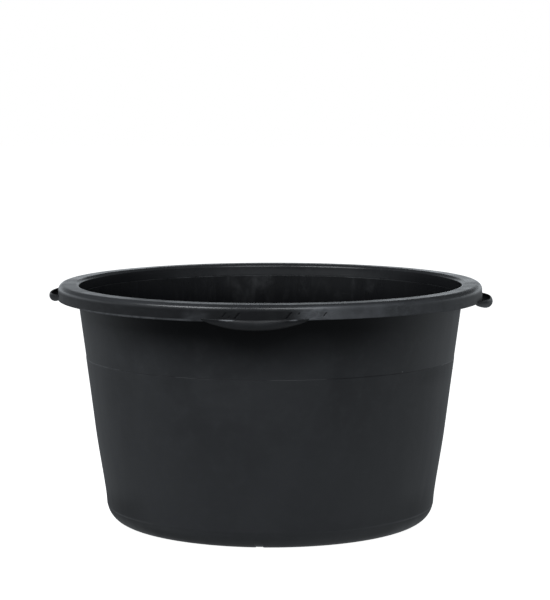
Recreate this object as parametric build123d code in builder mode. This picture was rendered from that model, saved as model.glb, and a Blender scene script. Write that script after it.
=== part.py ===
from build123d import *
from math import cos, hypot, radians, sin, sqrt
import os

# Round 65 litre mortar mixing tub, moulded in black recycled polyethylene.
# Frame: millimetres, +Z up, origin at the centre of the underside, Z = 0 on the
# plane that the foot stands on. The grips are at -Y (front), +Y (rear), -X (left)
# and +X (right). Profiles are drawn as (radius, height) and revolved about Z.

# ---------------------------------------------------------------- tub dimensions
wall_t = 3.3                 # side wall thickness up to the step
wall_t_top = 4.9             # side wall thickness under the rim
floor_t = 4.2                # floor thickness, above the foot recess

foot_recess = 1.5            # how far the middle of the underside stands clear
recess_slope = 3.0           # width of the slope from the recess down to the foot
foot_inner_r = 190.0         # inner edge of the flat contact ring
foot_outer_r = 206.0         # outer edge of the flat contact ring
dimple_r = 10.0              # dimple in the centre of the underside
dimple_slope = 1.0
dimple_depth = 0.8
floor_edge_r = foot_outer_r - 1.0    # where the floor meets the inner corner

# The crease is the line where the wall meets the foot's rounding
crease_r, crease_z = 234.3, 24.0
crease_lip = 0.45            # how far the wall stands proud of the rounding there
crease_edge = [              # soft edge from the rounding out to the wall
    (crease_r - 0.12, crease_z + 0.35),
    (crease_r + 0.10, crease_z + 1.6),
]

# Outer wall below the stacking step: (radius, height)
lower_wall = [
    (235.2, 36.0), (238.4, 60.0), (242.5, 86.0),
    (248.0, 122.0), (252.5, 158.0), (256.9, 194.0),
]

# Stacking step on the outside, a narrow ledge that faces up
step_r, step_z = 262.1, 235.5
step_in = 0.4                # the wall above the step is set in by this much
step_edge = [                # rounded edge of the ledge, from below
    (step_r - 0.12, step_z - 0.8),
    (step_r - 0.07, step_z - 0.2),
    (step_r - 0.28, step_z),
]
ledge_rise = 0.12            # rise of the ledge across its width
inner_step_r = step_r - wall_t - 0.15    # inside of the wall, level with the step

wall_top_r, top_z = 273.2, 323.5     # outside of the wall where the rim sits on it
bend_in, bend_drop = 1.5, 10.0       # the outside steepens this far in and below

# Radius of the foot's rounding: an arc level at the foot and ending at the crease
foot_round = ((crease_r - crease_lip - foot_outer_r) ** 2 + crease_z**2) / (2 * crease_z)

# Notch in the foot's rounding at -Y, about 11.5 wide
notch_half_angle = 1.45      # degrees
notch_top, notch_mid = 12.5, 5.2     # heights of its top and of a point midway
notch_depth = 1.5
notch_start = 4.0            # its lower end lies this far outside the foot's edge
notch_clear_r, notch_clear_z = 240.0, -2.0   # the cutter's limits, clear of the tub

# ---------------------------------------------------------------- rim dimensions
# An inverted channel that caps the wall, with a level flange
rim_outer_r = 300.0          # outside of the skirt: 600 mm across
rim_top = 340.8
rim_round = 9.0              # outer rounding of the shoulder
rim_t = 3.4                  # flange and skirt thickness
skirt_bottom = 317.4
skirt_r = rim_outer_r + 0.5  # the skirt flares out to this at its lower edge
skirt_round = 0.9            # rounding of the skirt's outer lower edge
skirt_bulge = 0.25           # inset of that rounding's middle, each way
band_foot_r = 269.2          # inside of the inner leg at its foot: a 0.9 mm ledge
rim_inner_r = 271.4          # corner between the inner leg and the flange
edge_cut = 4.6               # that corner is rounded off from this far each way
leg_t = 3.6                  # thickness of the inner leg
throat_cut = 5.2             # rounding between leg and flange, underneath

# ---------------------------------------------------------------- grip dimensions
# Crescent troughs on the skirt's lower edge, each cut from a tube on an arc
grip_tube = 8.6              # outside radius of the tube
grip_hollow = 6.5            # radius of its hollow, which sits a little higher, so
hollow_up = 0.8              # that the bottom is 2.9 thick and the lips are thin
grip_mid_r, grip_mid_z = 306.5, 314.7    # section centre at the middle
grip_end_r, grip_end_z = 283.5, 326.9    # at the ends: distance out, height
grip_half = 71.0             # half the length of the grip's arc, on the chord
arc_overrun = 22.0           # how far the arc is carried on past its ends
grip_top = 320.6             # top edge of the grip
lip_round = 0.7              # rounding of the grip's top edge
lip_edge_min = 60.0          # the lip's long edges are longer than this
left_raise = 5.0             # the left grip stands this much higher than the others

# The sliver of trough that is cleared in front of the skirt
sliver_z = grip_mid_z + 1.8
sliver_inner_r = rim_outer_r - 1.0
sliver_outer_r = grip_mid_r - 2.4
sliver_width = 54.0

# (name, lift, degrees turned from -Y)
grips = [
    ("front_grip", 0.0, 0),
    ("rear_grip", 0.0, 180),
    ("left_grip", left_raise, -90),
    ("right_grip", 0.0, 90),
]


def save(part, name):
    """Label a piece and write its STEP file."""
    part.label = name
    export_step(part, f"parts/{name}.step")


# ---------------------------------------------------------------- tub shell
def notch_floor(z):
    """Point of the notch's floor at height z, set evenly into the rounding."""
    radius = foot_round - notch_depth
    return (foot_outer_r + sqrt(radius**2 - (foot_round - z) ** 2), z)


def make_tub_shell():
    """Floor, rounded corner and tapered wall in one section, less the notch."""
    recess_top = foot_recess + dimple_depth
    floor_z = foot_recess + floor_t
    inner_wall = [(r - wall_t, z) for r, z in reversed(lower_wall)]
    inner_lean = (-0.10, -1.0)       # direction of the inner wall at its foot

    # the notch is swept from this half-plane through -Y
    turn = radians(-90 - notch_half_angle)
    notch_plane = Plane(
        origin=(0, 0, 0), x_dir=(cos(turn), sin(turn), 0), z_dir=(sin(turn), -cos(turn), 0)
    )
    notch_arc_r = foot_round - notch_depth
    notch_low = (
        foot_outer_r + notch_start,
        foot_round - sqrt(notch_arc_r**2 - notch_start**2),
    )

    with BuildPart() as shell:
        with BuildSketch(Plane.XZ):
            with BuildLine():
                # underside: centre dimple, recess, foot ring
                Polyline(
                    (0, recess_top),
                    (dimple_r - dimple_slope, recess_top),
                    (dimple_r, foot_recess),
                    (foot_inner_r - recess_slope, foot_recess),
                    (foot_inner_r, 0),
                    (foot_outer_r, 0),
                )
                # outside, going up
                corner = TangentArc(
                    (foot_outer_r, 0), (crease_r - crease_lip, crease_z), tangent=(1, 0)
                )
                crease = Spline(corner @ 1, *crease_edge, tangents=((0.75, 0.4), (0.1, 1.0)))
                outside = Spline(
                    crease @ 1,
                    *lower_wall,
                    step_edge[0],
                    tangents=((0.095, 1.0), (0.122, 1.0)),
                )
                ledge = ThreePointArc(outside @ 1, step_edge[1], step_edge[2])
                # wall above the step: up the outside, over the top, down the inside
                upper = Polyline(
                    ledge @ 1,
                    (step_r - step_in, step_z + ledge_rise),
                    (wall_top_r - bend_in, top_z - bend_drop),
                    (wall_top_r, top_z),
                    (wall_top_r - wall_t_top, top_z),
                    (inner_step_r, step_z),
                )
                # inside, going down
                inside = Spline(
                    upper @ 1, *inner_wall, tangents=((-0.119, -1.0), inner_lean)
                )
                inner_corner = TangentArc(
                    inside @ 1, (floor_edge_r, floor_z), tangent=inner_lean
                )
                Polyline(inner_corner @ 1, (0, floor_z), (0, recess_top))
            make_face()
        revolve(axis=Axis.Z)

        with BuildSketch(notch_plane):
            with BuildLine():
                cutter = Polyline(
                    (notch_low[0], notch_clear_z),
                    (notch_clear_r, notch_clear_z),
                    (notch_clear_r, notch_top),
                    notch_floor(notch_top),
                )
                groove = ThreePointArc(cutter @ 1, notch_floor(notch_mid), notch_low)
                Line(groove @ 1, cutter @ 0)
            make_face()
        revolve(axis=Axis.Z, revolution_arc=2 * notch_half_angle, mode=Mode.SUBTRACT)
    return shell.part


# ---------------------------------------------------------------- rim collar
def make_rim_collar():
    """Inner leg standing on the wall, flange, rounded shoulder and outer skirt."""
    crown_r = rim_outer_r - rim_round        # centre of the shoulder's rounding
    crown_z = rim_top - rim_round
    under_z = rim_top - rim_t                # underside of the flange

    # the inner leg leans outwards along this unit direction
    leg_run, leg_rise = rim_inner_r - band_foot_r, rim_top - top_z
    leg_len = hypot(leg_run, leg_rise)
    leg_up = (leg_run / leg_len, leg_rise / leg_len)
    leg_outer_r = band_foot_r + leg_t
    throat_r = leg_outer_r + leg_run / leg_rise * (under_z - top_z)

    with BuildPart() as collar:
        with BuildSketch(Plane.XZ):
            with BuildLine():
                # outer surface: up the inner leg, over the flange, down the skirt
                band = Line(
                    (band_foot_r, top_z),
                    (rim_inner_r - edge_cut * leg_up[0], rim_top - edge_cut * leg_up[1]),
                )
                edge = TangentArc(band @ 1, (rim_inner_r + edge_cut, rim_top), tangent=leg_up)
                flange = Line(edge @ 1, (crown_r, rim_top))
                shoulder = TangentArc(flange @ 1, (rim_outer_r, crown_z), tangent=(1, 0))
                skirt = Line(shoulder @ 1, (skirt_r, skirt_bottom + skirt_round))
                skirt_edge = ThreePointArc(
                    skirt @ 1,
                    (skirt_r - skirt_bulge, skirt_bottom + skirt_bulge),
                    (skirt_r - skirt_round, skirt_bottom),
                )
                # inside of the channel, back to the leg's foot
                skirt_inside = Polyline(
                    skirt_edge @ 1,
                    (skirt_r - rim_t, skirt_bottom),
                    (rim_outer_r - rim_t, crown_z),
                )
                inner_shoulder = TangentArc(
                    skirt_inside @ 1, (crown_r, under_z), tangent=(0, 1)
                )
                underside = Line(inner_shoulder @ 1, (throat_r + throat_cut, under_z))
                throat = TangentArc(
                    underside @ 1,
                    (throat_r - throat_cut * leg_up[0], under_z - throat_cut * leg_up[1]),
                    tangent=(-1, 0),
                )
                Polyline(throat @ 1, (leg_outer_r, top_z), band @ 0)
            make_face()
        revolve(axis=Axis.Z)
    return collar.part


# ---------------------------------------------------------------- grips
def arc_point(x, lift):
    """Point of the front grip's arc at distance x from the middle of the grip."""
    inward = grip_mid_r - grip_end_r
    rise = grip_end_z - grip_mid_z
    sag = hypot(inward, rise)
    arc_r = (grip_half**2 + sag**2) / (2 * sag)
    drop = arc_r - sqrt(arc_r**2 - x**2)
    return (x, -(grip_mid_r - drop * inward / sag), grip_mid_z + lift + drop * rise / sag)


def make_trough(collar, lift):
    """The grip on the -Y side, standing lift higher than its drawn height."""
    reach = grip_half + arc_overrun
    with BuildPart() as body:
        with BuildLine() as spine:
            ThreePointArc(*[arc_point(x, lift) for x in (-reach, 0, reach)])
        start = spine.line % 0
        section = Plane(
            origin=spine.line @ 0,
            x_dir=Vector(0, 0, 1) - start * start.Z,
            z_dir=start,
        )
        with BuildSketch(section):
            Circle(grip_tube)
            with Locations((hollow_up, 0)):
                Circle(grip_hollow, mode=Mode.SUBTRACT)
        sweep()
        # open the top, with a block that is clear of the tube all round
        with BuildSketch(Plane.XY.offset(grip_top + lift)):
            with Locations((0, -290)):
                Rectangle(260, 120)
        extrude(amount=50, mode=Mode.SUBTRACT)
        # drop what lies inside the skirt, then cut with the collar itself so
        # that the trough fits against it
        with BuildSketch(Plane.XY.offset(280)):
            Circle(skirt_r - rim_t)
        extrude(amount=70, mode=Mode.SUBTRACT)
        add(collar, mode=Mode.SUBTRACT)
        # the trough's inner side is the skirt: clear the sliver in front of it
        with BuildSketch(Plane.XY.offset(sliver_z + lift)):
            Circle(sliver_outer_r)
            Circle(sliver_inner_r, mode=Mode.SUBTRACT)
            with Locations((0, -grip_mid_r)):
                Rectangle(sliver_width, 30.0, mode=Mode.INTERSECT)
        extrude(amount=12, mode=Mode.SUBTRACT)
        # round the long edges of the lip
        lip = body.faces().sort_by(Axis.Z)[-1]
        long_edges = lip.edges().filter_by(lambda edge: edge.length > lip_edge_min)
        fillet(long_edges, radius=lip_round)
    return body.part


# ---------------------------------------------------------------- build and export
os.makedirs("parts", exist_ok=True)

save(make_tub_shell(), "tub_shell")

rim_collar = make_rim_collar()
save(rim_collar, "rim_collar")

troughs = {lift: make_trough(rim_collar, lift) for lift in (0.0, left_raise)}
for name, lift, angle in grips:
    with BuildPart() as grip:
        add(troughs[lift].rotate(Axis.Z, angle))
    save(grip.part, name)
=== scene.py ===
"""A round black polyethylene tub with a moulded rim and four grips.

It stands upright on z = 0 with its axis on Z. The front faces -Y, towards the
camera, and left is -X. The shell and rim are built here as turned profiles;
the grips are the CAD's own pieces. Shapes are in millimetres, everything
handed to Blender is in metres.
"""

import math
from collections import namedtuple

import bmesh
import bpy
import numpy as np
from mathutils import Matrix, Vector


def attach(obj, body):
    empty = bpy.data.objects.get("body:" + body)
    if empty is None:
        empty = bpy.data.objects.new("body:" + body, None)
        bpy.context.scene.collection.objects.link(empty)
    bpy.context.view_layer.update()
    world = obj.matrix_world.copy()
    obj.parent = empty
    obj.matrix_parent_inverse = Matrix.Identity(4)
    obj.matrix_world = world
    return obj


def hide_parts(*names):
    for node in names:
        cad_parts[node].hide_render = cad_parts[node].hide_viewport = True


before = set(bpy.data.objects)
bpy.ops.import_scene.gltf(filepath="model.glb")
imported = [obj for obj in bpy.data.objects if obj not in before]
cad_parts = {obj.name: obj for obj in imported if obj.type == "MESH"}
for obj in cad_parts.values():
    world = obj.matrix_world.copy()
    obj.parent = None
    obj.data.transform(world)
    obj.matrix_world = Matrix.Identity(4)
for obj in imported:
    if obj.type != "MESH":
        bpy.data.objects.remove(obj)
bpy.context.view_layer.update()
MM = 0.001
PI = math.pi

# ---------------------------------------------------------------- dimensions (mm)
FOOT_R = 206.0           # where the flat foot turns into the rounding
CREASE = (233.85, 24.0)  # (radius, height) where the rounding meets the wall
ROUND_R = ((CREASE[0] - FOOT_R) ** 2 + CREASE[1] ** 2) / (2 * CREASE[1])
SHELL_TOP = 323.5
WALL = 3.3
FLOOR_Z = 5.7            # inside floor
# outer wall below the step: (radius, height)
LOWER_WALL = [(235.2, 36.0), (238.4, 60.0), (242.5, 86.0),
              (248.0, 122.0), (252.5, 158.0), (256.9, 194.0)]

RIM_R, RIM_TOP, RIM_ROUND = 300.0, 340.8, 9.0
RIM_WALL = 3.4
RIM_LIMIT_R = 300.7      # the unevenness never reaches past this
BAND_R = 272.9           # outer radius of the rim's inner band, at its foot
BAND_CORNER_R = 271.4    # where the band meets the flange
SKIRT_Z = 317.4          # lower edge of the skirt

SHELL_SEGMENTS, RIM_SEGMENTS = 360, 432
SHELL_SPAN, RIM_SPAN = 7.0, 3.0  # longest profile span

# shallow notch in the foot's rounding, at the front
NOTCH_R = 228.0          # radius its arc lengths are measured at
NOTCH_DEPTH = 1.45
NOTCH_HALF, NOTCH_SIDE = 5.9, 0.7   # half width, and width of each flank
NOTCH_TOP, NOTCH_SLOPE = 12.6, 0.8  # top height, and height of the slope there
# extra columns of vertices at these arc lengths either side of its middle
NOTCH_COLUMNS = (0.0, 1.2, 2.5, 3.8, 4.6, 5.1, 5.3, 5.55, 5.8, 6.0, 6.4, 7.2)


# ---------------------------------------------------------------- profile tools
def curve(points, steps, start, end):
    """Smooth curve through points, steps per span, with given end directions."""
    knots = [np.array(p, float) for p in points]
    spans = [b - a for a, b in zip(knots, knots[1:])]
    lengths = [np.linalg.norm(s) for s in spans]
    tangents = [np.array(start, float)]
    for i in range(len(spans) - 1):
        before, after = lengths[i], lengths[i + 1]
        tangents.append(spans[i] / before * after + spans[i + 1] / after * before)
    tangents.append(np.array(end, float))
    tangents = [v / np.linalg.norm(v) for v in tangents]
    out = []
    for i, length in enumerate(lengths):
        leave, arrive = tangents[i] * length, tangents[i + 1] * length
        for k in range(steps):
            t = k / steps
            out.append(tuple(
                (2 * t**3 - 3 * t**2 + 1) * knots[i] + (t**3 - 2 * t**2 + t) * leave
                + (-2 * t**3 + 3 * t**2) * knots[i + 1] + (t**3 - t**2) * arrive))
    out.append(tuple(knots[-1]))
    return out


def arc(centre_r, centre_z, radius, start, end, steps):
    """Points of an arc, between angles in degrees."""
    angles = [math.radians(start + (end - start) * k / steps) for k in range(steps + 1)]
    return [(centre_r + radius * math.cos(a), centre_z + radius * math.sin(a)) for a in angles]


def rounded(corners, steps, hold):
    """Polyline of (r, z, radius) with its inner corners rounded.

    A supporting point goes just outside each rounding, hold away, where it fits.
    """
    out = [corners[0][:2]]
    for before, corner, after in zip(corners, corners[1:], corners[2:]):
        point = np.array(corner[:2], float)
        back = np.array(before[:2], float) - point
        ahead = np.array(after[:2], float) - point
        back_len, ahead_len = np.linalg.norm(back), np.linalg.norm(ahead)
        back, ahead = back / back_len, ahead / ahead_len
        half = math.acos(float(back @ ahead)) / 2
        cut = min(corner[2] / math.tan(half), back_len * 0.45, ahead_len * 0.45)
        radius = cut * math.tan(half)
        bisector = (back + ahead) / np.linalg.norm(back + ahead)
        centre = point + bisector * (radius / math.sin(half))
        first, last = point + back * cut - centre, point + ahead * cut - centre
        if back_len * 0.5 > cut + hold * 1.5:
            out.append(tuple(point + back * (cut + hold)))
        sweep = math.acos(float(first @ last) / (radius * radius))
        for k in range(steps + 1):
            t = k / steps
            spoke = math.sin((1 - t) * sweep) * first + math.sin(t * sweep) * last
            out.append(tuple(centre + spoke / math.sin(sweep)))
        if ahead_len * 0.5 > cut + hold * 1.5:
            out.append(tuple(point + ahead * (cut + hold)))
    out.append(corners[-1][:2])
    return out


def distinct(points, gap=0.02):
    """Drops points that nearly coincide with the one before."""
    out = [points[0]]
    for p in points[1:]:
        if math.dist(p, out[-1]) > gap:
            out.append(p)
    return out


def between(a, b, t):
    return (a[0] + (b[0] - a[0]) * t, a[1] + (b[1] - a[1]) * t)


def resample(points, longest):
    """Splits spans so that none is longer than longest."""
    out = [points[0]]
    for a, b in zip(points, points[1:]):
        pieces = max(1, math.ceil(math.dist(a, b) / longest))
        out += [between(a, b, k / pieces) for k in range(1, pieces + 1)]
    return out


# ---------------------------------------------------------------- profiles
# Every point is (radius, height); rounded() also takes a corner radius.
def shell_profile():
    """From the axis underneath, up the outside, over the edge and back inside."""
    under = rounded([(0, 2.3, 0), (9.2, 2.3, 0.5), (10.0, 1.5, 0.5), (186.5, 1.5, 2.0),
                     (190.0, 0.0, 1.2), (FOOT_R - 0.6, 0.0, 0)], steps=4, hold=0.35)
    crease_angle = -math.degrees(math.asin((ROUND_R - CREASE[1]) / ROUND_R))
    foot = arc(FOOT_R, ROUND_R, ROUND_R, -90, crease_angle, 26)
    lip = [(234.06, 24.22), (234.20, 24.55), (234.29, 25.0), (234.36, 25.6)]
    lower = curve([(234.45, 26.6), *LOWER_WALL, (261.75, 232.6)], 6, (0.095, 1.0), (0.122, 1.0))
    step = [(261.86, 233.8), (261.93, 234.6), (261.95, 235.0), (261.93, 235.25),
            (261.88, 235.45), (261.82, 235.60), (261.79, 235.76), (261.79, 235.95),
            (261.80, 236.3), (261.84, 236.8)]
    upper = [(261.95, 238.0), (267.1, 278.0), (270.35, 303.5), (271.7, 313.5), (272.45, 318.5)]
    top = rounded([(*upper[-1], 0), (273.2, SHELL_TOP, 0.25), (268.35, SHELL_TOP, 0.5),
                   (258.75, 235.5, 0)], steps=4, hold=0.3)
    inner_wall = [(r - WALL, z) for r, z in reversed(LOWER_WALL)]
    inside = curve([(258.65, 235.3), *inner_wall], 6, (-0.119, -1.0), (-0.10, -1.0))
    corner = curve([inside[-1], (231.0, 27.2), (227.6, 18.0), (221.3, 11.0), (212.5, 7.0),
                    (202.3, FLOOR_Z)], 5, (-0.10, -1.0), (-1.0, -0.02))
    floor = [(r, FLOOR_Z) for r in (201.6, 150, 90, 40, 12, 0)]
    points = under + foot + lip + lower + step + upper + top[1:] + inside + corner[1:] + floor
    return resample(distinct(points), SHELL_SPAN)


def rim_profile():
    """Closed loop, starting at the foot of the inner band and going over the top."""
    round_r, round_z = RIM_R - RIM_ROUND, RIM_TOP - RIM_ROUND
    under_z = RIM_TOP - RIM_WALL
    band = rounded([(BAND_R, SHELL_TOP, 0), (269.2, SHELL_TOP, 0.45),
                    (BAND_CORNER_R, RIM_TOP, 5.5), (round_r, RIM_TOP, 0)], steps=12, hold=0.3)
    flange = [(r, RIM_TOP) for r in (279.5, 283.0, 287.0, 289.8)]
    shoulder = arc(round_r, round_z, RIM_ROUND, 90, 0, 24)
    skirt = [(300.02, 330.2), (300.12, 327.0), (300.28, 322.6), (300.40, 319.6), (300.46, 318.9)]
    lip = arc(299.62, SKIRT_Z + 0.85, 0.85, 2, -90, 8)
    foot = [(299.0, SKIRT_Z), (298.2, SKIRT_Z)] + arc(297.6, SKIRT_Z + 0.5, 0.5, -90, -180, 4)
    inside = [(297.0, 319.0), (296.8, 325.0), (RIM_R - RIM_WALL, round_z)]
    inner_shoulder = arc(round_r, round_z, RIM_ROUND - RIM_WALL, 0, 90, 12)
    under = [(286.0, under_z), (281.5, under_z)]
    throat = curve([(279.8, under_z), (277.4, 336.7), (275.6, 335.2), (274.5, 332.6)],
                   4, (-1.0, 0.0), (-0.12, -1.0))
    leg = [(274.1, 329.6), (272.95, 323.9), (BAND_R, SHELL_TOP)]
    points = distinct(band[1:-1] + flange + shoulder + skirt + lip + foot + inside
                      + inner_shoulder + under + throat + leg)
    return resample(points + [points[0]], RIM_SPAN)[:-1]


# ---------------------------------------------------------------- unevenness
rng = np.random.default_rng(65)
# (waves round the tub, phase, lean with height, strength)
WAVES = [
    (k, float(rng.uniform(0, 2 * PI)), float(rng.uniform(-0.02, 0.02)),
     float(rng.uniform(0.5, 1.0)))
    for k in (3, 5, 7, 8, 11, 13, 17, 19, 23, 29, 31, 37)
]


def clamp(v):
    return min(1.0, max(0.0, v))


def smooth(v):
    v = clamp(v)
    return v * v * (3 - 2 * v)


def wobble(theta, z, scale):
    """Low, smooth unevenness of a thick moulding."""
    total = 0.0
    for k, phase, lean, strength in WAVES:
        total += strength * math.sin(k * theta + phase + lean * z * k * 0.35) / (4 + k)
    return scale * total


def from_front(theta):
    """Angle from the front (-Y), negative to the left."""
    return (theta + PI / 2 + PI) % (2 * PI) - PI


def notch_depth(theta, z):
    off = abs(from_front(theta)) * NOTCH_R
    side = smooth((NOTCH_HALF - off) / NOTCH_SIDE)
    top = smooth((NOTCH_TOP - z) / NOTCH_SLOPE)
    return NOTCH_DEPTH * side * top * clamp((z + 0.4) / 1.2)


def edge_drift(theta):
    """Height of the skirt's lower edge off its level.

    It hangs lower left of the front grip and is trimmed higher right of it.
    """
    degrees = math.degrees(from_front(theta))
    left = smooth((degrees + 57) / 7) * smooth((-8 - degrees) / 7)
    right = smooth((degrees - 9) / 7) * smooth((58 - degrees) / 9)
    return 1.4 * right - 1.6 * left


def top_lie(theta):
    """The rim's top lies a little low at the front and on the left."""
    front, left = max(0.0, -math.sin(theta)), max(0.0, -math.cos(theta))
    sag = 0.0
    if theta > PI:  # a small dip just left of the front
        sag = 0.15 * max(0.0, 1.0 - ((theta - 2 * PI + 1.86) / 0.30) ** 2)
    return -0.65 * front - 0.8 * left ** 1.5 - sag


# ---------------------------------------------------------------- meshes
def angles_for(count, extra=()):
    """Even angles round the axis with extra ones merged in."""
    even = [2 * PI * k / count for k in range(count)]
    out = []
    for a in sorted({round(a % (2 * PI), 7) for a in (*even, *extra)}):
        if not out or a - out[-1] >= 0.0004:
            out.append(a)
    return out


def on_ring(r, theta, z):
    return (r * math.cos(theta), r * math.sin(theta), z)


def bridge(a, b, count):
    """Quads between the rings of vertices that start at a and b."""
    return [(a + k, a + (k + 1) % count, b + (k + 1) % count, b + k) for k in range(count)]


def make_object(name, verts, faces):
    mesh = bpy.data.meshes.new(name)
    mesh.from_pydata([(x * MM, y * MM, z * MM) for x, y, z in verts], [], faces)
    mesh.validate()
    bm = bmesh.new()
    bm.from_mesh(mesh)
    bmesh.ops.recalc_face_normals(bm, faces=bm.faces)
    bm.to_mesh(mesh)
    bm.free()
    mesh.polygons.foreach_set("use_smooth", [True] * len(mesh.polygons))
    mesh.update()
    obj = bpy.data.objects.new(name, mesh)
    bpy.context.scene.collection.objects.link(obj)
    return obj


def shell_rings():
    """The shell's profile, with extra rings so the notch's edge is crisp."""
    profile = shell_profile()
    rings = []
    for a, b in zip(profile, profile[1:]):
        rings.append(a)
        if a[0] > 215 and b[0] > a[0] and a[1] < 16 and b[1] > 1.0 and a[1] < b[1]:
            rings += [between(a, b, k / 4) for k in range(1, 4)]
    rings.append(profile[-1])
    return rings


def build_shell():
    rings = shell_rings()
    columns = [-PI / 2 + side * d / NOTCH_R for side in (-1, 1) for d in NOTCH_COLUMNS]
    angles = angles_for(SHELL_SEGMENTS, columns)
    verts, starts = [], []
    for i, (r, z) in enumerate(rings):
        starts.append(len(verts))
        if i in (0, len(rings) - 1):  # the profile's ends are single points on the axis
            verts.append((0.0, 0.0, z))
            continue
        on_rounding = z <= 23.9 and r >= FOOT_R and i < len(rings) // 2
        normal_r, normal_z = (r - FOOT_R) / ROUND_R, (z - ROUND_R) / ROUND_R
        uneven = clamp((z - 20) / 40) * clamp((SHELL_TOP - z) / 18)
        for t in angles:
            depth = notch_depth(t, z) if on_rounding else 0.0
            radius = r - depth * normal_r + wobble(t, z, 0.20) * uneven
            verts.append(on_ring(radius, t, z - depth * normal_z))
    count = len(angles)
    faces = [(0, 1 + k, 1 + (k + 1) % count) for k in range(count)]
    for a, b in zip(starts[1:-1], starts[2:-1]):
        faces += bridge(a, b, count)
    a, b = starts[-2:]
    faces += [(a + k, b, a + (k + 1) % count) for k in range(count)]
    return make_object("moulded_shell", verts, faces)


def build_rim():
    profile = rim_profile()
    angles = angles_for(RIM_SEGMENTS)
    verts, faces = [], []
    for r, z in profile:
        # how much each unevenness applies on this ring
        above_foot = (z - SHELL_TOP) / 8.0
        uneven = clamp(above_foot) if r < 276 else 1.0
        if z < 319.3 and r > 296:
            uneven = 0.5
        lifted = clamp((z - 336.8) / 2.5) if r > 273 else 0.0
        skirt_edge = smooth((325.5 - z) / 7.0) if r > 290 else 0.0
        lying = smooth(above_foot)
        flange = smooth((r - 276.0) / 10.0) * (1.0 - smooth((r - 291.0) / 5.0))
        flange *= smooth((z - 334.0) / 4.0)
        top = smooth((z - 334.5) / 5.8)
        for t in angles:
            front = -math.sin(t)
            radius = min(r + wobble(t + 0.7, z * 2.0, 0.14) * uneven, RIM_LIMIT_R)
            height = min(z + wobble(t + 2.1, 0.0, 0.16) * lifted, RIM_TOP)
            height += skirt_edge * edge_drift(t) + top_lie(t) * lying
            # the front sits lower: the flange slightly, the whole top more
            height -= 0.3 * max(0.0, front) * flange + 1.15 * smooth(front / 0.5) * top
            verts.append(on_ring(radius, t, height))
    count = len(angles)
    for i in range(len(profile)):
        faces += bridge(i * count, (i + 1) % len(profile) * count, count)
    return make_object("moulded_rim", verts, faces)


# ---------------------------------------------------------------- node helpers
class Signal:
    """A node's output. Arithmetic on it adds Math nodes."""

    def __init__(self, graph, socket):
        self.graph = graph
        self.socket = socket

    def __add__(self, other):
        return self.graph.math("ADD", self, other)

    def __radd__(self, other):
        return self.graph.math("ADD", other, self)

    def __sub__(self, other):
        return self.graph.math("SUBTRACT", self, other)

    def __rsub__(self, other):
        return self.graph.math("SUBTRACT", other, self)

    def __mul__(self, other):
        return self.graph.math("MULTIPLY", self, other)

    def __truediv__(self, other):
        return self.graph.math("DIVIDE", self, other)

    def __abs__(self):
        return self.graph.math("ABSOLUTE", self)

    def ramp(self, at, to=(0.0, 1.0), kind="SMOOTHSTEP"):
        """Goes from to[0] to to[1] as the signal goes from at[0] to at[1]."""
        inputs = dict(enumerate((self, *at, *to)))
        return self.graph.signal("MapRange", inputs, interpolation_type=kind)

    def fade(self, to):
        """Linear ramp of a 0 to 1 signal."""
        return self.ramp(at=(0.0, 1.0), to=to, kind="LINEAR")


class Graph:
    """Builds the node tree of a material or world."""

    def __init__(self, owner):
        owner.use_nodes = True
        self.tree = owner.node_tree
        self.tree.nodes.clear()
        self.x = 0

    def new(self, kind, inputs=None, **props):
        node = self.tree.nodes.new("ShaderNode" + kind)
        self.x += 40
        node.location = (self.x, 0)
        for name, value in props.items():
            setattr(node, name, value)
        for key, value in (inputs or {}).items():
            if isinstance(value, Signal):
                self.tree.links.new(value.socket, node.inputs[key])
            else:
                node.inputs[key].default_value = value
        return node

    def signal(self, kind, inputs=None, output=0, **props):
        return Signal(self, self.new(kind, inputs, **props).outputs[output])

    def math(self, operation, *operands, clamp=False):
        inputs = dict(enumerate(operands))
        return self.signal("Math", inputs, operation=operation, use_clamp=clamp)

    def split(self, vector):
        node = self.new("SeparateXYZ", {0: vector})
        return [Signal(self, socket) for socket in node.outputs]

    def normal_z(self):
        return self.split(self.signal("NewGeometry", output="Normal"))[2]

    def constant(self, value):
        node = self.new("Value")
        node.outputs[0].default_value = value
        return Signal(self, node.outputs[0])

    def noise(self, vector, scale=1.0, detail=3.0, rough=0.55, distort=0.0,
              stretch=None, turn=0.0):
        """Noise; with stretch, vector is first turned about its Z and scaled."""
        if stretch:
            inputs = {"Vector": vector, "Rotation": (0, 0, turn), "Scale": stretch}
            vector = self.signal("Mapping", inputs)
        return self.signal("TexNoise", {
            "Vector": vector, "Scale": scale, "Detail": detail,
            "Roughness": rough, "Distortion": distort}, output="Fac")

    def tint(self, colour, toward, amount):
        inputs = {0: amount, 6: colour, 7: toward}
        return self.signal("Mix", inputs, output=2, data_type="RGBA")


# ---------------------------------------------------------------- polyethylene
# Colours, linear RGBA.
PAINTED_SHADE_BLACK = (0.0075, 0.0078, 0.0090, 1)
CLOUD_DARK = (0.0200, 0.0208, 0.0230, 1)
CLOUD_PALE = (0.0300, 0.0312, 0.0342, 1)
FINE_PALE = (0.040, 0.0415, 0.045, 1)
SPECK = (0.16, 0.165, 0.17, 1)
RUBBED = (0.085, 0.087, 0.09, 1)
DEEP_BLACK = (0.006, 0.006, 0.007, 1)
LINE_BLACK = (0.006, 0.0062, 0.0070, 1)

ARC_R = 0.27  # metres; radius at which arc lengths are measured for textures

# dent: depth mask of knocks, if any; dull: share of plain diffuse black, mixed in as painted shade
Finish = namedtuple("Finish", "colour rough specular dull dent", defaults=(None,))
# heights in metres of the mould grain, the pebbling and the soft unevenness
Relief = namedtuple("Relief", "grain pebble soft")


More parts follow.
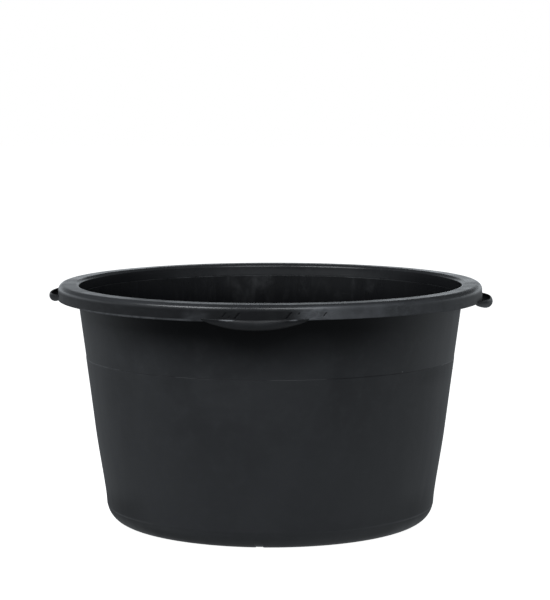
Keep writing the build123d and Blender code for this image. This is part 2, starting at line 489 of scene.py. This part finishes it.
class Surface:
    """Place on the tub in metres, and the look that all its parts share."""

    def __init__(self, g):
        self.pos = pos = g.signal("TexCoord", output="Object")
        self.x, y, self.z = g.split(pos)
        self.radius = g.math("SQRT", self.x * self.x + y * y)
        self.azimuth = g.math("ARCTAN2", y, self.x)
        # (arc, height, radius); the arc has a seam at -X, which pos does not
        self.cyl = g.signal("CombineXYZ", {0: self.azimuth * ARC_R, 1: self.z, 2: self.radius})

        # faintly cloudy black, as recycled plastic is, with sparse pale specks
        cloud = g.noise(pos, scale=7.0, detail=5.0, rough=0.6, distort=0.6)
        self.fine = g.noise(pos, scale=60.0, detail=4.0, rough=0.6)
        black = g.tint(CLOUD_DARK, CLOUD_PALE, amount=cloud.ramp(at=(0.35, 0.7)))
        black = g.tint(black, FINE_PALE, amount=self.fine.ramp(at=(0.45, 0.75), to=(0.0, 0.35)))
        cells = g.new("TexVoronoi", {"Scale": 42.0, "Randomness": 1.0, "Vector": pos},
                      feature="F1")
        pick = g.signal("SeparateColor", {0: Signal(g, cells.outputs["Color"])})
        speck = Signal(g, cells.outputs["Distance"]).ramp(at=(0.055, 0.03))
        speck = speck * g.math("GREATER_THAN", pick, 0.93)
        self.colour = g.tint(black, SPECK, amount=speck * 0.55)

        # long rubbed scratches in two slanting families, in patches
        rub_a = g.noise(self.cyl, detail=2.0, rough=0.5, distort=0.3,
                        stretch=(14.0, 520.0, 1.0), turn=0.9)
        rub_b = g.noise(self.cyl, detail=2.0, rough=0.5, distort=0.5,
                        stretch=(11.0, 430.0, 1.0), turn=-0.5)
        rub = g.math("MAXIMUM", rub_a.ramp(at=(0.66, 0.72)), rub_b.ramp(at=(0.67, 0.73)))
        patches = g.noise(pos, scale=9.0, detail=3.0, rough=0.6, distort=0.8)
        self.rub = rub * patches.ramp(at=(0.48, 0.66))

        # base roughness, raised by the clouds, by streaks up the wall and by fine noise
        streak = g.noise(self.cyl, detail=4.0, rough=0.6, distort=0.4, stretch=(38.0, 5.0, 5.0))
        self.rough = (0.36 + cloud.ramp(at=(0.3, 0.75)) * 0.08
                      + streak.ramp(at=(0.35, 0.7)) * 0.05 + self.fine * 0.05)


def sideways(g, s):
    """1 on the parts of the tub that lie towards -X and +X, 0 at front and back."""
    return abs(g.math("COSINE", s.azimuth)).ramp(at=(0.45, 0.86))


def shell_finish(g, s):
    pos, x, z, colour = s.pos, s.x, s.z, s.colour
    # inside: 1 on the inner wall and floor; the underside faces down, so it is left out
    inside = (s.radius - (z * 0.122 + 0.2315)).ramp(at=(-0.0005, -0.0018))
    inside = inside * g.normal_z().ramp(at=(-0.10, -0.02))
    beside = sideways(g, s)
    deep = z.ramp(at=(0.318, 0.278))

    # the inside is dusty and streaked, and painted darker as shade, more so deeper down
    dust_a = g.noise(s.cyl, detail=6.0, rough=0.62, distort=1.4,
                     stretch=(42.0, 11.0, 6.0), turn=0.25)
    dust_b = g.noise(pos, scale=16.0, detail=6.0, rough=0.62, distort=1.2)
    dust = dust_a.ramp(at=(0.45, 0.72)) * dust_b.ramp(at=(0.36, 0.68)) * inside
    # painted shade: the inside darkened, more so deeper down
    colour = g.tint(colour, (0.0030, 0.0031, 0.0037, 1),
                    amount=inside * deep.fade(to=(0.72, 0.92)))
    colour = g.tint(colour, (0.105, 0.108, 0.114, 1), amount=dust * deep.fade(to=(0.20, 0.09)))

    # outside: paler towards the foot, and painted shade darkens it low down where seen at a flat
    # angle
    wash = z.ramp(at=(0.230, 0.070), to=(0.0, 0.42)) * (1.0 - inside) * (1.0 - beside * 0.6)
    flatness = g.signal("LayerWeight", {"Blend": 0.5}, output="Facing")
    edge_on = flatness.ramp(at=(0.30, 0.60))
    painted_low_shade = z.ramp(at=(0.072, 0.034)) * (edge_on * (1.0 - inside))
    colour = g.tint(colour, (0.045, 0.0465, 0.0515, 1), amount=wash)
    colour = g.tint(colour, (0.010, 0.0104, 0.0115, 1), amount=painted_low_shade * 0.55)
    colour = g.tint(colour, LINE_BLACK, amount=z.ramp(at=(0.0030, 0.0012), to=(0.0, 0.6)))

    # painted highlight: a pale line along the crease at the sides; painted shadow: a broken dark
    # line along the step
    crease_highlight = abs(z - 0.0243).ramp(at=(0.0022, 0.0006), to=(0.0, 0.5)) * beside
    colour = g.tint(colour, (0.075, 0.078, 0.084, 1), amount=crease_highlight * (1.0 - inside))
    # painted shadow under the step's ledge: a broken dark line
    step = abs(z - 0.2356).ramp(at=(0.0008, 0.0004)) * (1.0 - inside)
    dashes = g.noise(pos, scale=14.0, detail=2.0, rough=0.5)
    step = step * dashes.ramp(at=(0.60, 0.66), to=(1.0, 0.0))
    colour = g.tint(colour, LINE_BLACK, amount=step * 0.4)

    # shade under the rim at front and back
    shade = z.ramp(at=(0.246, 0.300), to=(0.0, 0.6)) * ((1.0 - inside) * (1.0 - beside))
    colour = g.tint(colour, (0.0020, 0.0020, 0.0024, 1), amount=shade)

    # an oval hazy patch high inside on the +Y side, and a painted highlight in patches along the
    # inside top edge, at the ledge
    haze_x = (s.azimuth - 1.70) / 0.105
    haze_z = (z - 0.318) / 0.019
    haze = (haze_x * haze_x + haze_z * haze_z).ramp(at=(1.0, 0.0))
    mottle = g.noise(pos, scale=55.0, detail=5.0, rough=0.65, distort=1.0)
    haze = haze * mottle.ramp(at=(0.3, 0.7), to=(0.15, 1.0))
    colour = g.tint(colour, (0.10, 0.102, 0.106, 1), amount=haze * (inside * 0.30))
    # painted highlight along the inside top edge
    edge = z.ramp(at=(0.3220, 0.3232)) * inside
    patches = g.noise(pos, scale=30.0, detail=3.0, rough=0.6)
    edge = edge * patches.ramp(at=(0.35, 0.6), to=(0.2, 1.0))
    colour = g.tint(colour, (0.11, 0.113, 0.118, 1), amount=edge * 0.45)
    colour = g.tint(colour, (0.07, 0.072, 0.076, 1), amount=s.rub * ((inside + 0.25) * 0.12))
    rough = s.rough - inside * 0.15 + dust * 0.10

    # specular: weaker towards the rim, on the step line, low at the sides and inside
    under_rim = z.ramp(at=(0.228, 0.305), to=(0.0, 0.33)) * (1.0 - inside) * (1.0 - beside * 0.9)
    loss = step * 0.22 + painted_low_shade * 0.14
    # walls seen edge-on gain above the step and on the left, and lose just below it
    # on the right
    side = edge_on * (1.0 - inside)
    above = z.ramp(at=(0.2350, 0.2368)) * z.ramp(at=(0.262, 0.300), to=(0.18, 0.12))
    above = above * x.ramp(at=(-0.02, 0.02), to=(0.25, 1.0))
    below = z.ramp(at=(0.205, 0.225), to=(0.0, 0.13)) * x.ramp(at=(0.0, 0.1))
    below = z.ramp(at=(0.2368, 0.2350)) * below
    left = x.ramp(at=(-0.08, -0.20)) * flatness.ramp(at=(0.45, 0.75), to=(0.0, 0.20))
    left = left * z.ramp(at=(0.034, 0.060))
    loss = loss - side * (above + left - below)
    specular = 0.5 - loss - under_rim - inside * deep.fade(to=(0.30, 0.43))
    # painted shade: plain diffuse black mixed into the inside at the sides
    return Finish(colour, rough, specular, dull=inside * beside * 0.75)


# slanting knocks in the front of the skirt, in mm:
# (arc from the front, height, half height, lean per mm of height, width)
KNOCKS = (
    (-39.5, 325.4, 3.3, 0.75, 0.85), (-22.5, 324.6, 3.9, 0.85, 1.0),
    (44.5, 325.2, 4.4, 0.8, 1.0), (92.0, 326.2, 2.6, 0.8, 0.8),
    (-33.0, 322.9, 1.6, 0.9, 0.7), (58.0, 327.8, 1.2, 0.6, 0.7),
)


def knock_mask(g, s):
    arc_mm = (s.azimuth + PI / 2) * RIM_R
    z_mm = s.z * 1000.0
    mask = None
    for along, height, half, lean, width in KNOCKS:
        rise = z_mm - height
        off_line = abs(arc_mm - along - rise * lean)
        ragged = (g.noise(s.pos, scale=420.0, detail=2.0) - 0.5) * 1.2
        off_line = off_line + ragged
        knock = off_line.ramp(at=(width * 1.9, width * 0.55))
        knock = knock * abs(rise).ramp(at=(half + 0.7, half - 0.5))
        mask = knock if mask is None else g.math("MAXIMUM", mask, knock)
    return mask


def rim_finish(g, s):
    pos, z, radius, azimuth = s.pos, s.z, s.radius, s.azimuth
    # where on the rim a point is
    beside = sideways(g, s)
    skirt = z.ramp(at=(0.3345, 0.3290))
    outside = radius.ramp(at=(0.2950, 0.2975))
    below_top = z.ramp(at=(0.3380, 0.3340))
    up = g.normal_z()
    inner = radius.ramp(at=(0.2770, 0.2760)) * up.ramp(at=(0.42, 0.22))
    # painted shade: the skirt's outside darkened, and the inner band a little
    colour = g.tint(s.colour, (0.0040, 0.0042, 0.0050, 1), amount=skirt * outside * 0.72)
    colour = g.tint(colour, (0.005, 0.0052, 0.0060, 1), amount=inner * 0.25)

    # scuffs: greyer from the front round to the right, and a patch left of the front
    scuff = g.noise(s.cyl, detail=5.0, rough=0.62, distort=1.0,
                    stretch=(70.0, 130.0, 8.0), turn=0.55)
    patch = g.noise(pos, scale=11.0, detail=3.0, rough=0.55, distort=0.5)
    scuff = scuff.ramp(at=(0.40, 0.70)) * patch.ramp(at=(0.42, 0.62), to=(0.15, 1.0))
    right = azimuth.ramp(at=(-1.43, -1.29)) * azimuth.ramp(at=(-0.25, -0.6))
    right = right * azimuth.ramp(at=(-1.10, -0.82), to=(1.0, 0.58))
    bruise = abs(azimuth - -1.83).ramp(at=(0.085, 0.03), to=(0.0, 0.22))
    bruise = bruise * z.ramp(at=(0.3300, 0.3225), to=(0.3, 1.0))
    mottle = g.noise(pos, scale=26.0, detail=4.0, rough=0.6, distort=0.6)
    spread = scuff * 0.45 + mottle.ramp(at=(0.3, 0.7), to=(0.42, 0.70))
    scuffed = skirt * (scuff * 0.06) + below_top * (right * spread)
    scuffed = g.math("ADD", scuffed, bruise * spread, clamp=True)
    colour = g.tint(colour, (0.125, 0.130, 0.140, 1), amount=scuffed * 0.95)

    # painted highlight: the skirt's lower edge paler along the left of the front
    low_edge_highlight = azimuth.ramp(at=(-2.62, -2.45)) * azimuth.ramp(at=(-1.83, -1.90))
    low_edge_highlight = z.ramp(at=(0.3190, 0.3180)) * low_edge_highlight
    low_edge_highlight = low_edge_highlight * (outside * s.fine.ramp(at=(0.35, 0.6), to=(0.5, 1.0)))
    colour = g.tint(colour, (0.095, 0.098, 0.104, 1), amount=low_edge_highlight * 0.7)
    colour = g.tint(colour, RUBBED, amount=s.rub * 0.16)
    knocks = knock_mask(g, s)
    colour = g.tint(colour, DEEP_BLACK, amount=knocks * 0.9)

    # scuffs are rougher, the worn flange and shoulder smoother
    rough = s.rough + scuffed * 0.12 - z.ramp(at=(0.3290, 0.3350)) * 0.16

    # specular: weaker on the inner band, the skirt and in the knocks; on the flat top
    # stronger at the far right and weaker at front and back
    dark_side = g.math("MAXIMUM", skirt, below_top * azimuth.ramp(at=(-1.35, -0.95)))
    specular = 0.5 - inner * 0.24 - dark_side * outside * 0.24
    specular = specular + up.ramp(at=(0.96, 0.99), to=(0.0, 0.10)) * x_right(s)
    specular = specular - up.ramp(at=(0.96, 0.99), to=(0.0, 0.20)) * (1.0 - beside)
    specular = specular * (1.0 - knocks * 0.8)
    # painted shade: plain diffuse black mixed into the flat top at front and back, and into the
    # inner band at the sides
    top = up.ramp(at=(0.96, 0.99), to=(0.0, 0.32)) * (1.0 - beside)
    return Finish(colour, rough, specular, dull=inner * beside * 0.85 + top, dent=knocks)


def x_right(s):
    """1 at the far +X side of the rim."""
    return s.x.ramp(at=(0.20, 0.27))


def grip_finish(g, s):
    # painted shade: the grips darker than the rest of the plastic
    colour = g.tint(s.colour, DEEP_BLACK, amount=0.35)
    colour = g.tint(colour, RUBBED, amount=s.rub * 0.16)
    # painted highlights: two pale glints on top of the front grip, left and right of its middle
    left = abs(s.azimuth + 1.684).ramp(at=(0.040, 0.016))
    right = abs(s.azimuth + 1.405).ramp(at=(0.022, 0.008), to=(0.0, 0.9))
    on_top = s.z.ramp(at=(0.3186, 0.3196)) * s.fine.ramp(at=(0.3, 0.6), to=(0.35, 1.0))
    lip_glints = g.math("MAXIMUM", left, right) * on_top
    colour = g.tint(colour, (0.30, 0.31, 0.33, 1), amount=lip_glints * 0.75)
    # smoother towards the top
    rough = s.rough - s.z.ramp(at=(0.3180, 0.3197)) * 0.08
    # painted shade: plain diffuse black mixed in towards the top, muting its sheen
    dull = s.z.ramp(at=(0.3150, 0.3185), to=(0.0, 0.35))
    return Finish(colour, rough, specular=g.constant(0.34), dull=dull)


def polyethylene(name, finish_part, relief):
    """Satin black recycled polyethylene, finished for one part."""
    mat = bpy.data.materials.new(name)
    g = Graph(mat)
    s = Surface(g)
    finish = finish_part(g, s)

    grain = g.noise(s.pos, scale=900.0, detail=3.0, rough=0.6)
    pebble = g.noise(s.pos, scale=220.0, detail=3.0, rough=0.5)
    soft = g.noise(s.pos, scale=22.0, detail=3.0, rough=0.5)
    height = grain * relief.grain + pebble * relief.pebble + soft * relief.soft
    height = height - s.rub * 0.00004  # scratches, 0.04 mm deep
    if finish.dent:
        height = height - finish.dent * 0.00022  # knocks, 0.22 mm deep
    bump = g.signal("Bump", {"Strength": 1.0, "Distance": 1.0, "Height": height})

    satin = g.signal("BsdfPrincipled", {
        "Base Color": finish.colour, "Roughness": finish.rough, "IOR": 1.50,
        "Specular IOR Level": finish.specular, "Normal": bump})
    # painted shade: plain diffuse black, mixed in by the finish's share to darken it
    dull = g.signal("BsdfDiffuse", {"Color": PAINTED_SHADE_BLACK})
    g.new("OutputMaterial", {0: g.signal("MixShader", {0: finish.dull, 1: satin, 2: dull})})
    return mat


# ---------------------------------------------------------------- stage
def build_floor():
    """White floor that neither lights the tub nor shows in it."""
    mesh = bpy.data.meshes.new("studio_floor")
    bm = bmesh.new()
    bmesh.ops.create_grid(bm, x_segments=8, y_segments=8, size=14.0)
    bm.to_mesh(mesh)
    bm.free()
    floor = bpy.data.objects.new("studio_floor", mesh)
    bpy.context.scene.collection.objects.link(floor)
    floor.location = (0, 0, -0.0004)
    mat = bpy.data.materials.new("pale_floor")
    g = Graph(mat)
    diffuse = g.signal("BsdfDiffuse", {"Color": (0.86, 0.86, 0.86, 1)})
    glow = g.signal("Emission", {"Color": (1, 1, 1, 1), "Strength": 1.0})
    g.new("OutputMaterial", {0: g.signal("AddShader", {0: diffuse, 1: glow})})
    mesh.materials.append(mat)
    floor.visible_diffuse = False
    floor.visible_glossy = False


def reflected_level(g):
    """Brightness that reflections see, by direction; +Y is behind the tub."""
    dx, dy, dz = g.split(g.signal("TexCoord", output="Generated"))
    # a bright band near the horizon, brightest behind
    behind = dy.ramp(at=(-0.55, 0.25))
    band = dz.ramp(at=(-0.12, -0.01)) * dz.ramp(at=(0.15, 0.25), to=(1.0, 0.0))
    band = band * (dz.ramp(at=(0.0, 0.06), to=(0.04, 0.36)) + behind * 0.68)
    # a grey floor, brighter to the right and behind, and again straight below
    spread = dy.ramp(at=(-0.85, -0.25), to=(0.13, 0.26)) * dx.ramp(at=(-0.7, 0.7), to=(0.84, 1.20))
    ground = dz.ramp(at=(0.0, -0.10)) * spread + dz.ramp(at=(-0.55, -0.85), to=(0.0, 0.13))
    near = dz.ramp(at=(-0.32, -0.50), to=(0.0, 0.20)) * dz.ramp(at=(-0.56, -0.68), to=(1.0, 0.0))
    ground = ground + near
    # dark air above
    air = dz.ramp(at=(0.15, 0.25)) * abs(dx).ramp(at=(0.30, 0.65), to=(0.085, 0.125))
    return band + ground + air


def build_world():
    """White to the camera, a dim fill to diffuse light, shaped for reflections."""
    world = bpy.data.worlds.new("studio")
    bpy.context.scene.world = world
    g = Graph(world)

    def background(colour, level):
        return g.signal("Background", {"Color": colour, "Strength": level})

    reflection = background((0.89, 0.95, 1.0, 1), reflected_level(g))
    fill = background((0.90, 0.96, 1.0, 1), 0.155)
    white = background((1, 1, 1, 1), 1.0)
    path = g.new("LightPath")
    is_diffuse, is_camera = (
        Signal(g, path.outputs[key]) for key in ("Is Diffuse Ray", "Is Camera Ray"))
    lit = g.signal("MixShader", {0: is_diffuse, 1: reflection, 2: fill})
    g.new("OutputWorld", {0: g.signal("MixShader", {0: is_camera, 1: lit, 2: white})})


def aim(obj, location, target):
    obj.location = location
    direction = Vector(target) - Vector(location)
    obj.rotation_euler = direction.to_track_quat("-Z", "Y").to_euler()


def softbox(name, location, target, width, height, power):
    data = bpy.data.lights.new(name, "AREA")
    data.shape = "RECTANGLE"
    data.size = width
    data.size_y = height
    data.energy = power
    data.color = (0.94, 0.975, 1.0)
    light = bpy.data.objects.new(name, data)
    bpy.context.scene.collection.objects.link(light)
    aim(light, location, target)


def build_camera():
    """Long lens in front of the tub, turned a little to its right."""
    data = bpy.data.cameras.new("camera")
    camera = bpy.data.objects.new("camera", data)
    bpy.context.scene.collection.objects.link(camera)
    turn, distance, height = math.radians(3.93), 3.1259, 0.64724
    location = (distance * math.sin(turn), -distance * math.cos(turn), height)
    aim(camera, Vector(location), target=(0, 0, 0.167))
    data.sensor_fit = "AUTO"
    data.sensor_width = 36.0
    data.lens = 132.4668
    data.shift_x = 0.008025
    data.shift_y = 0.16979
    data.clip_end = 100.0
    bpy.context.scene.camera = camera


# ---------------------------------------------------------------- assembly
shell = build_shell()
rim = build_rim()

DEEP_RELIEF = Relief(grain=0.000010, pebble=0.00003, soft=0.00020)
RIM_RELIEF = Relief(grain=0.000006, pebble=0.000012, soft=0.00012)
shell_mat = polyethylene("black_polyethylene_shell", shell_finish, DEEP_RELIEF)
rim_mat = polyethylene("black_polyethylene_rim", rim_finish, RIM_RELIEF)
grip_mat = polyethylene("black_polyethylene_grip", grip_finish, DEEP_RELIEF)

shell.data.materials.append(shell_mat)
rim.data.materials.append(rim_mat)
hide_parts("tub_shell")
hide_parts("rim_collar")
for piece, slot_name in ((shell, "shell_polyethylene"), (rim, "rim_polyethylene")):
    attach(piece, "root")
for name in ("front_grip", "rear_grip", "left_grip", "right_grip"):
    for material_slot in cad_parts[name].material_slots:
        material_slot.material = grip_mat

build_floor()
build_world()
softbox("right_front_softbox", location=(0.38, -1.27, 1.34), target=(0.05, -0.20, 0.25),
        width=0.85, height=0.8, power=9.5)
softbox("left_front_softbox", location=(-0.80, -0.95, 1.28), target=(-0.05, -0.20, 0.25),
        width=1.0, height=0.6, power=13.5)
build_camera()

view = bpy.context.scene.view_settings
view.view_transform = "Standard"
view.look = "None"
view.exposure = 0.0
view.gamma = 1.0
